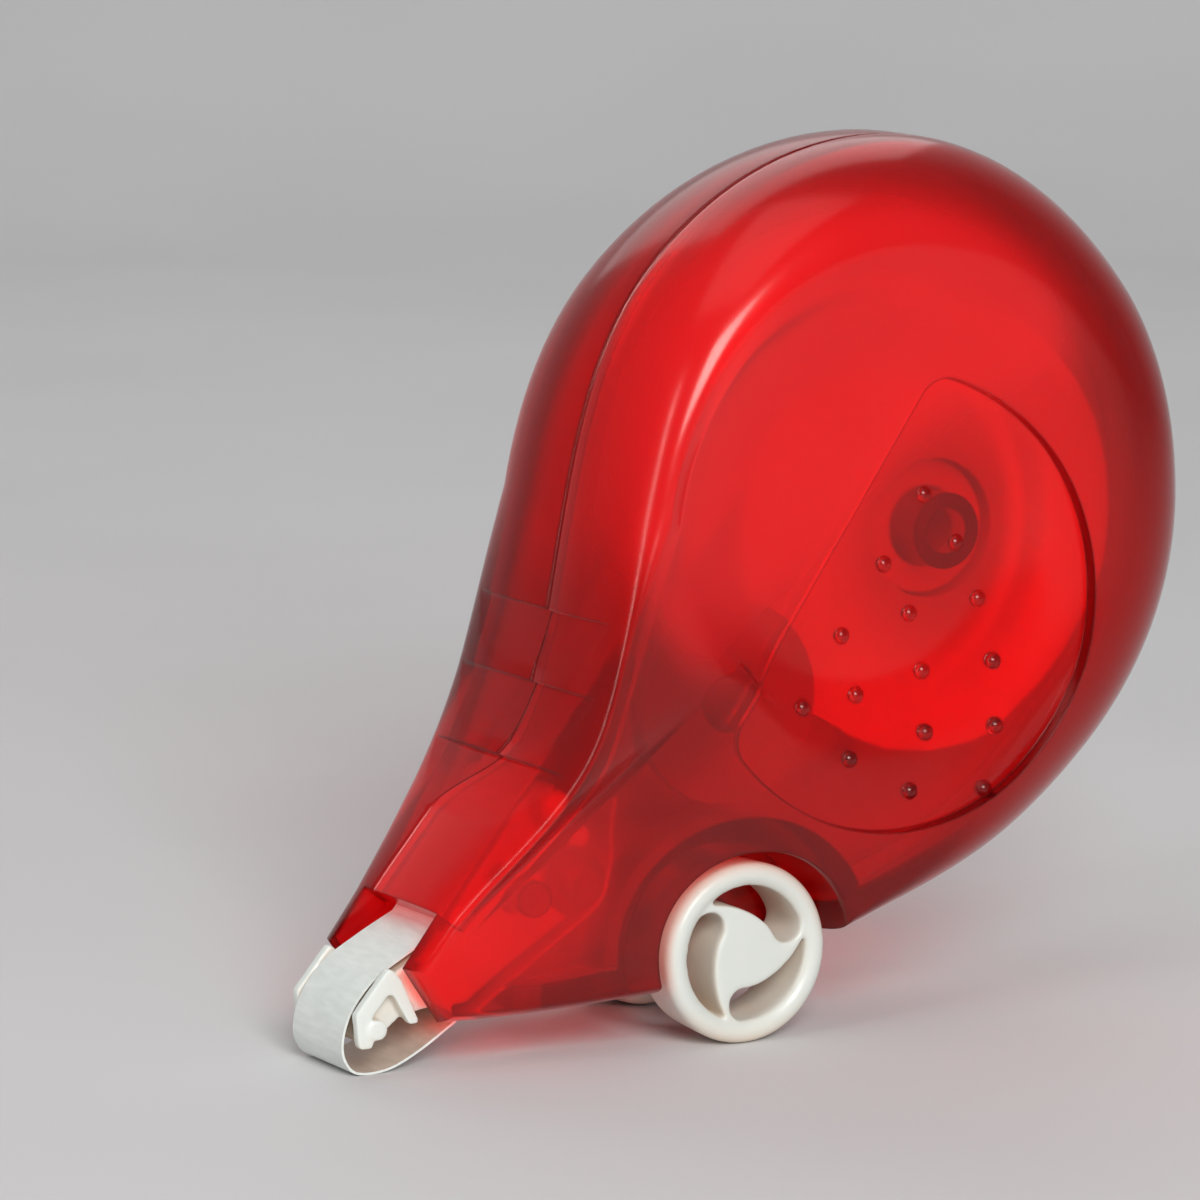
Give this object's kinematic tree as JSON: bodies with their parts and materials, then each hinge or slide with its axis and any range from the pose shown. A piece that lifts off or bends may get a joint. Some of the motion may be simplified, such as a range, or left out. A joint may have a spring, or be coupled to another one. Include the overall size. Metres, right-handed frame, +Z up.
{
  "type": "correction tape dispenser",
  "caption": "Hand-held correction tape dispenser: a drop-shaped translucent two-half shell on a pair of wheels, with reels, gears, slip clutch and an applicator tip that the tape loops round.",
  "frame": {"origin": "middle of the dispenser's outline at the paper, in its pose of use with the tape loop and both wheels on the paper", "axes": "+X from the tip towards the head, +Y across the body along the wheel axle from the near shell to the far one, +Z up from the paper"},
  "size_m": [0.0474, 0.015, 0.0437],
  "materials": {
    "shell": "polished, translucent",
    "white_plastic": "satin",
    "reel_plastic": "satin",
    "ivory_plastic": "satin",
    "grey_plastic": "satin",
    "wheel_plastic": "satin",
    "clutch_rubber": "matt",
    "axle_steel": "drawn",
    "tape": "smooth, slightly waxy"
  },
  "bodies": {
    "body": {"near_shell": "shell", "far_shell": "shell", "applicator_tip": "white_plastic", "carrier_tape": "tape"},
    "wheels": {"near_wheel": "wheel_plastic", "far_wheel": "wheel_plastic", "wheel_axle": "axle_steel"},
    "drive": {"drive_gear": "ivory_plastic", "clutch_ring": "clutch_rubber"},
    "supply": {"supply_reel": "reel_plastic", "supply_tape_roll": "tape"},
    "take_up": {"take_up_reel": "grey_plastic", "take_up_tape_roll": "tape"}
  },
  "joints": [
    {"name": "wheel_roll", "type": "hinge", "parent": "body", "child": "wheels", "pos_m": [-0.00326, 0, 0.0045], "axis": [0, 1, 0], "continuous": true},
    {"name": "drive_turn", "type": "hinge", "parent": "body", "child": "drive", "pos_m": [0.00885, 0, 0.02425], "axis": [0, 1, 0], "continuous": true},
    {"name": "clutch_slip", "type": "hinge", "parent": "drive", "child": "supply", "pos_m": [0.00885, 0, 0.02425], "axis": [0, 1, 0], "continuous": true},
    {"name": "take_up_turn", "type": "hinge", "parent": "body", "child": "take_up", "pos_m": [-0.00358, 0, 0.01678], "axis": [0, 1, 0], "continuous": true}
  ],
  "couplings": [
    {"joint": "take_up_turn", "follows": "drive_turn", "ratio": -3.1429}
  ]
}
